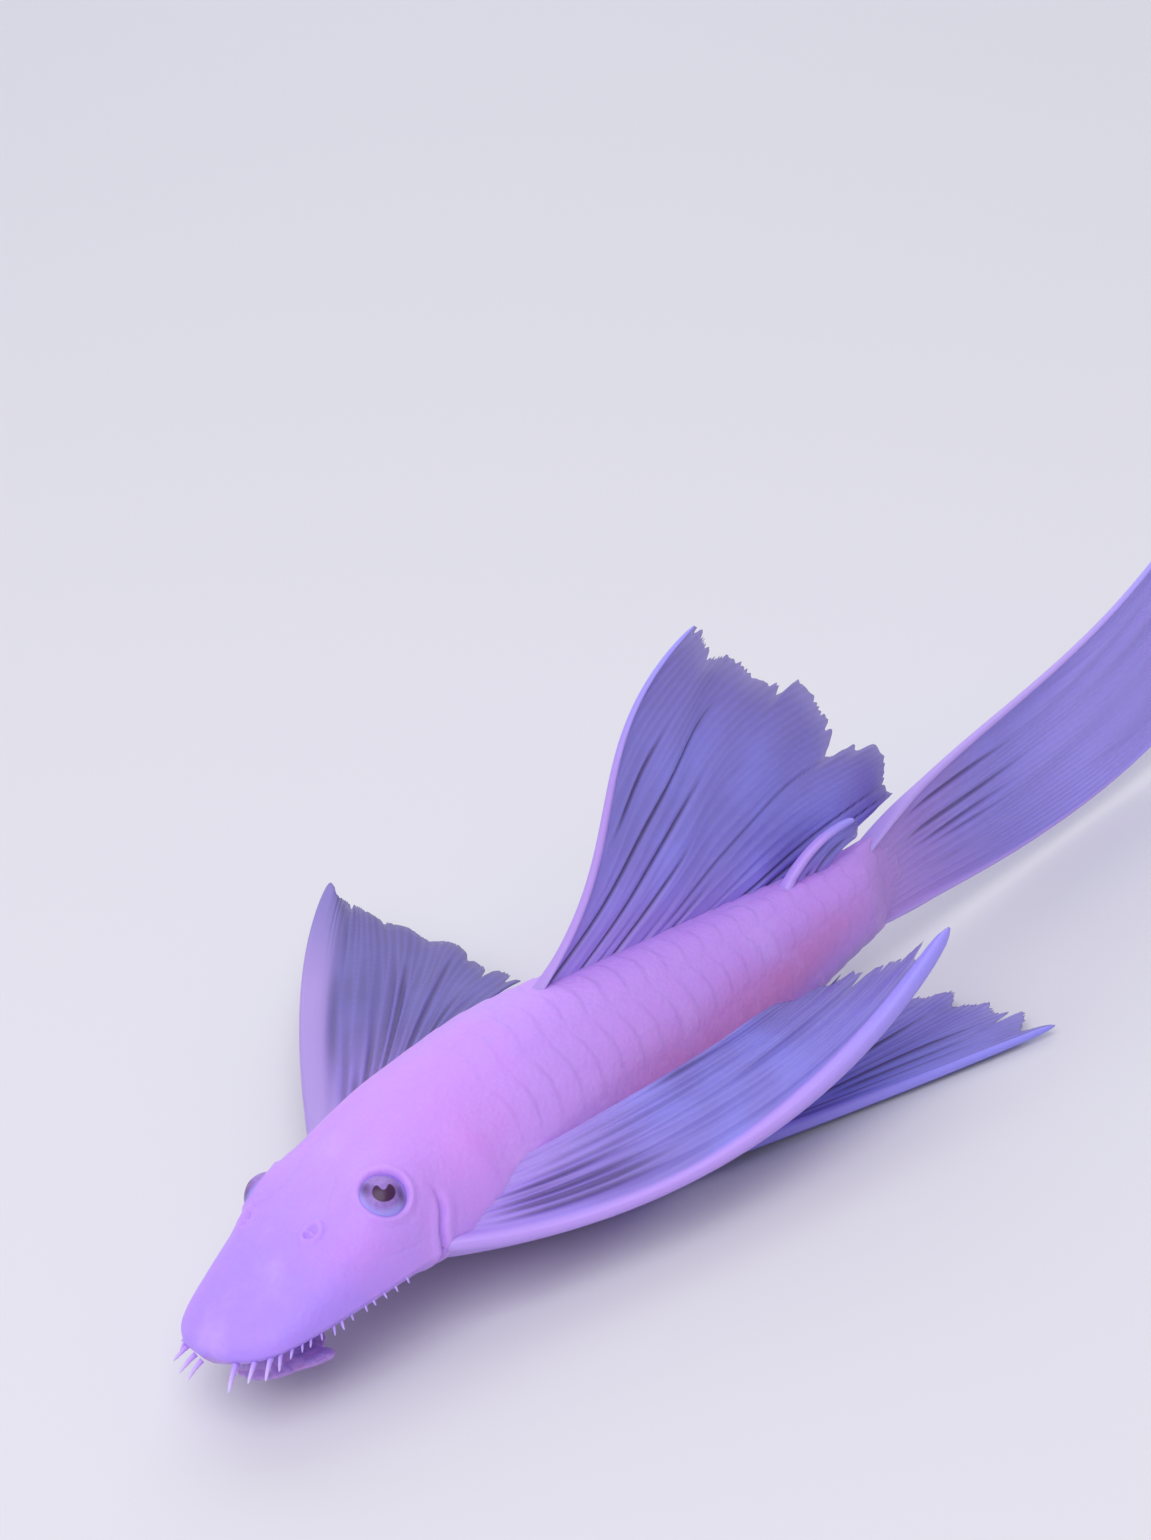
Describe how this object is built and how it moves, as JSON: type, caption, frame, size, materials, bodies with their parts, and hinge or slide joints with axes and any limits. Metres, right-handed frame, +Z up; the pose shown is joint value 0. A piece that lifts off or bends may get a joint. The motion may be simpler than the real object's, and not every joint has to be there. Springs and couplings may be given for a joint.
{
  "type": "long-finned pale bristlenose pleco, still model",
  "caption": "Life-size still model of a pale, long-finned bristlenose catfish resting on its belly, fins spread.",
  "frame": {"origin": "on the flat of the belly that rests on the floor", "axes": "+X towards the tail, +Z up, the animal's left side towards -Y"},
  "size_m": [0.1315, 0.0673, 0.0389],
  "materials": {
    "skin": "satin",
    "lip": "satin",
    "fin": "satin",
    "eye": "gloss"
  },
  "bodies": {
    "root": {"head": "skin", "mouth": "lip", "trunk": "skin", "tail_stem": "skin", "eye_left": "eye", "eye_right": "eye", "dorsal_fin": "fin", "adipose_fin": "fin", "caudal_fin": "fin", "anal_fin": "fin", "pectoral_fin_left": "fin", "pectoral_fin_right": "fin", "pelvic_fin_left": "fin", "pelvic_fin_right": "fin"}
  },
  "joints": []
}
